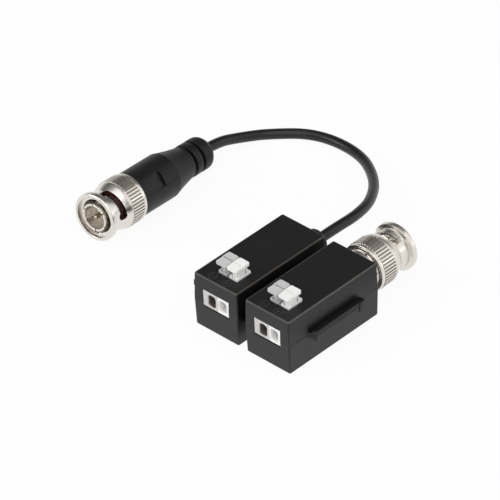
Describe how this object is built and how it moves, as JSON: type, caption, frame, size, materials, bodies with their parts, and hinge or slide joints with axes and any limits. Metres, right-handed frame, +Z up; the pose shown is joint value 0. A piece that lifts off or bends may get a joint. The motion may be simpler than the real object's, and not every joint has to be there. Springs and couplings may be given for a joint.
{
  "type": "video balun pair",
  "caption": "Black two-part housings keyed side by side, each with a push-lever wire terminal; one has a bayonet video plug on its back, the other a pigtail to a booted plug.",
  "frame": {"origin": "bottom centre of the box round both housings with their rail, channel and the plug on the back; the pigtail is left out", "axes": "+Z up, +Y from the wire side towards the plug on the back, +X from the pigtail's housing towards the other one"},
  "size_m": [0.0887, 0.0844, 0.0204],
  "materials": {
    "housing_black": "fine moulded texture, satin",
    "terminal_grey": "moulded, satin",
    "terminal_white": "moulded, satin",
    "spring_steel": "bent strip",
    "tinned_metal": "tinned",
    "board_green": "solder mask",
    "ferrite": "sintered",
    "enamelled_wire": "enamelled",
    "chip_black": "moulded",
    "nickel": "nickel plate, polished",
    "gold_pin": "plated",
    "dielectric": "turned, waxy",
    "seal_red": "moulded ring",
    "boot_black": "moulded, matt",
    "collar_black": "moulded, satin",
    "cable_black": "extruded jacket, soft sheen"
  },
  "bodies": {
    "module_left": {"boot": "boot_black", "cable": "cable_black", "cable_boot_end": "cable_black", "cable_gland": "boot_black", "cable_housing_end": "cable_black", "crimp_sleeve": "tinned_metal", "left_balun_core": "ferrite", "left_balun_winding": "enamelled_wire", "left_capacitor": "chip_black", "left_circuit_board": "board_green", "left_grey_clamp_spring": "spring_steel", "left_grey_contact": "tinned_metal", "left_grey_pole": "terminal_grey", "left_lower_shell": "housing_black", "left_surge_suppressor": "chip_black", "left_upper_shell": "housing_black", "left_white_clamp_spring": "spring_steel", "left_white_contact": "tinned_metal", "left_white_pole": "terminal_white", "pigtail_centre_pin": "gold_pin", "pigtail_gasket": "seal_red", "pigtail_insulator": "dielectric", "pigtail_plug_body": "nickel", "pigtail_retaining_clip": "spring_steel", "pigtail_wave_washer": "spring_steel"},
    "module_right": {"rear_collar": "collar_black", "right_balun_core": "ferrite", "right_balun_winding": "enamelled_wire", "right_capacitor": "chip_black", "right_centre_pin": "gold_pin", "right_circuit_board": "board_green", "right_gasket": "seal_red", "right_grey_clamp_spring": "spring_steel", "right_grey_contact": "tinned_metal", "right_grey_pole": "terminal_grey", "right_insulator": "dielectric", "right_lower_shell": "housing_black", "right_plug_body": "nickel", "right_retaining_clip": "spring_steel", "right_surge_suppressor": "chip_black", "right_upper_shell": "housing_black", "right_wave_washer": "spring_steel", "right_white_clamp_spring": "spring_steel", "right_white_contact": "tinned_metal", "right_white_pole": "terminal_white"},
    "left_grey_lever_body": {"left_grey_lever": "terminal_grey"},
    "left_white_lever_body": {"left_white_lever": "terminal_white"},
    "right_grey_lever_body": {"right_grey_lever": "terminal_grey"},
    "right_white_lever_body": {"right_white_lever": "terminal_white"},
    "pigtail_nut_body": {"pigtail_coupling_nut": "nickel"},
    "right_nut_body": {"right_coupling_nut": "nickel"}
  },
  "joints": [
    {"name": "module_slide", "type": "slide", "parent": "module_left", "child": "module_right", "axis": [0, -1, 0], "range_m": [0, 0.018]},
    {"name": "left_grey_push", "type": "slide", "parent": "module_left", "child": "left_grey_lever_body", "axis": [0, 0, -1], "range_m": [0, 0.0018], "stiffness_N_per_m": 2500, "deforming": ["left_grey_clamp_spring"]},
    {"name": "left_white_push", "type": "slide", "parent": "module_left", "child": "left_white_lever_body", "axis": [0, 0, -1], "range_m": [0, 0.0018], "stiffness_N_per_m": 2500, "deforming": ["left_white_clamp_spring"]},
    {"name": "right_grey_push", "type": "slide", "parent": "module_right", "child": "right_grey_lever_body", "axis": [0, 0, -1], "range_m": [0, 0.0018], "stiffness_N_per_m": 2500, "deforming": ["right_grey_clamp_spring"]},
    {"name": "right_white_push", "type": "slide", "parent": "module_right", "child": "right_white_lever_body", "axis": [0, 0, -1], "range_m": [0, 0.0018], "stiffness_N_per_m": 2500, "deforming": ["right_white_clamp_spring"]},
    {"name": "pigtail_nut_turn", "type": "hinge", "parent": "module_left", "child": "pigtail_nut_body", "pos_m": [-0.06112, -0.01786, 0.00877], "axis": [0.0574, -0.9955, 0.076], "continuous": true},
    {"name": "right_nut_turn", "type": "hinge", "parent": "module_right", "child": "right_nut_body", "pos_m": [0.00937, 0.02545, 0.00965], "axis": [0, 1, 0], "continuous": true}
  ]
}
